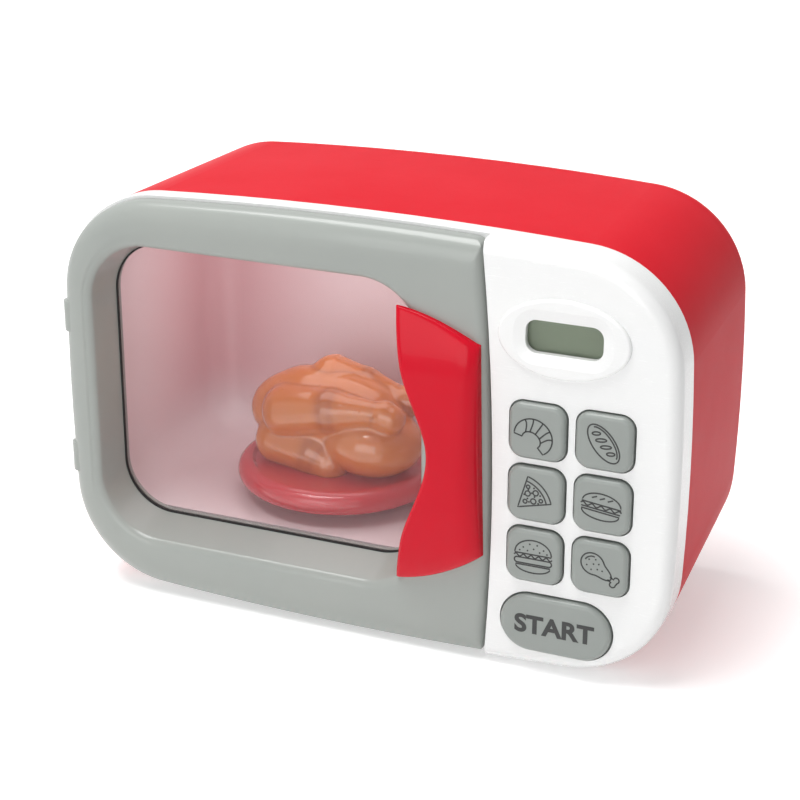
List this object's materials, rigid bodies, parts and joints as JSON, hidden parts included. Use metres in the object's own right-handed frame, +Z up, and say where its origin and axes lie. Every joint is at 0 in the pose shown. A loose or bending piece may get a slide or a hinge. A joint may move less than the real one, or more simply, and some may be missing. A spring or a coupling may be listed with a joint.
{
  "type": "toy microwave oven",
  "caption": "Toy microwave: red shell, white panel, grey see-through door with red handle, picture buttons, start bar, display, turntable with roast chicken.",
  "frame": {"origin": "centre of the footprint on the table, level with the underside of the feet", "axes": "+X to the right as seen from the front, +Y towards the back, +Z up"},
  "size_m": [0.3, 0.147, 0.2002],
  "materials": {
    "shell_red": "deep gloss red moulding",
    "bezel_white": "gloss white moulding",
    "door_grey": "pearl grey moulding with a soft sheen",
    "inner_grey": "plain grey moulding",
    "handle_red": "gloss red moulding",
    "gasket_black": "thin black strip",
    "pane_clear": "clear, faintly pink and smoky",
    "liner_white": "white moulding",
    "button_grey": "satin grey with black printing",
    "keypad_rubber": "pale silicone",
    "board_green": "circuit board with components",
    "lens_clear": "clear",
    "display_green": "grey-green liquid crystal cell",
    "holder_black": "plain black",
    "plate_red": "gloss red moulding",
    "chicken_brown": "glossy golden brown",
    "gear_white": "natural acetal",
    "tray_black": "plain black",
    "steel": "bright zinc plating",
    "clip_steel": "spring steel",
    "foot_rubber": "dull dark rubber",
    "cell_jacket": "plain dark jacket",
    "speaker_grey": "dark frame with a paper cone",
    "lead_jacket": "red and black insulation"
  },
  "bodies": {
    "housing": {"rear_shell": "shell_red", "front_bezel": "bezel_white", "latch_clip": "clip_steel", "hinge_pin": "steel", "cavity_liner": "liner_white", "rubber_feet": "foot_rubber", "housing_screws": "steel", "board_screws": "steel", "tray_screws": "steel", "rubber_keypad": "keypad_rubber", "control_board": "board_green", "board_parts": "holder_black", "display_lens": "lens_clear", "display_module": "display_green", "display_holder": "holder_black", "gear_tray": "tray_black", "drive_motor": "steel", "gear_axle": "steel", "turntable_bush": "gear_white", "battery_box": "tray_black", "batteries": "cell_jacket", "battery_contacts": "clip_steel", "speaker": "speaker_grey", "speaker_clamp": "tray_black", "speaker_screws": "steel", "battery_lead": "lead_jacket", "speaker_lead": "lead_jacket", "motor_lead": "lead_jacket"},
    "door": {"door_frame": "door_grey", "door_liner": "inner_grey", "window_gasket": "gasket_black", "door_window": "pane_clear", "door_latch": "inner_grey", "door_handle": "handle_red", "door_screws": "steel", "handle_screws": "steel"},
    "turntable": {"output_gear": "gear_white", "turntable_plate": "plate_red", "roast_chicken": "chicken_brown"},
    "compound": {"compound_gear": "gear_white"},
    "pinion": {"motor_pinion": "gear_white"},
    "cover": {"battery_cover": "shell_red", "cover_screw": "steel"},
    "croissant": {"croissant_button": "button_grey"},
    "loaf": {"loaf_button": "button_grey"},
    "pizza": {"pizza_button": "button_grey"},
    "sandwich": {"sandwich_button": "button_grey"},
    "burger": {"burger_button": "button_grey"},
    "drumstick": {"drumstick_button": "button_grey"},
    "start": {"start_button": "button_grey"}
  },
  "joints": [
    {"name": "door_hinge", "type": "hinge", "parent": "housing", "child": "door", "pos_m": [-0.1449, -0.0563, 0.1007], "axis": [0, 0, -1], "range_deg": [0, 95]},
    {"name": "turntable_spin", "type": "hinge", "parent": "housing", "child": "turntable", "pos_m": [-0.041, 0.015, 0.04], "axis": [0, 0, 1], "continuous": true},
    {"name": "compound_spin", "type": "hinge", "parent": "housing", "child": "compound", "pos_m": [-0.0218, 0.015, 0.027], "axis": [0, 0, 1], "continuous": true},
    {"name": "pinion_spin", "type": "hinge", "parent": "housing", "child": "pinion", "pos_m": [-0.0026, 0.015, 0.023], "axis": [0, 0, 1], "continuous": true},
    {"name": "cover_release", "type": "slide", "parent": "housing", "child": "cover", "axis": [0, 1, 0], "range_m": [0, 0.03]},
    {"name": "croissant_press", "type": "slide", "parent": "housing", "child": "croissant", "axis": [0, 1, 0], "range_m": [0, 0.0015], "stiffness_N_per_m": 300, "deforming": ["rubber_keypad"]},
    {"name": "loaf_press", "type": "slide", "parent": "housing", "child": "loaf", "axis": [0, 1, 0], "range_m": [0, 0.0015], "stiffness_N_per_m": 300},
    {"name": "pizza_press", "type": "slide", "parent": "housing", "child": "pizza", "axis": [0, 1, 0], "range_m": [0, 0.0015], "stiffness_N_per_m": 300},
    {"name": "sandwich_press", "type": "slide", "parent": "housing", "child": "sandwich", "axis": [0, 1, 0], "range_m": [0, 0.0015], "stiffness_N_per_m": 300},
    {"name": "burger_press", "type": "slide", "parent": "housing", "child": "burger", "axis": [0, 1, 0], "range_m": [0, 0.0015], "stiffness_N_per_m": 300},
    {"name": "drumstick_press", "type": "slide", "parent": "housing", "child": "drumstick", "axis": [0, 1, 0], "range_m": [0, 0.0015], "stiffness_N_per_m": 300},
    {"name": "start_press", "type": "slide", "parent": "housing", "child": "start", "axis": [0, 1, 0], "range_m": [0, 0.0015], "stiffness_N_per_m": 300}
  ],
  "couplings": [
    {"joint": "compound_spin", "follows": "turntable_spin", "ratio": -3},
    {"joint": "pinion_spin", "follows": "turntable_spin", "ratio": 9}
  ]
}
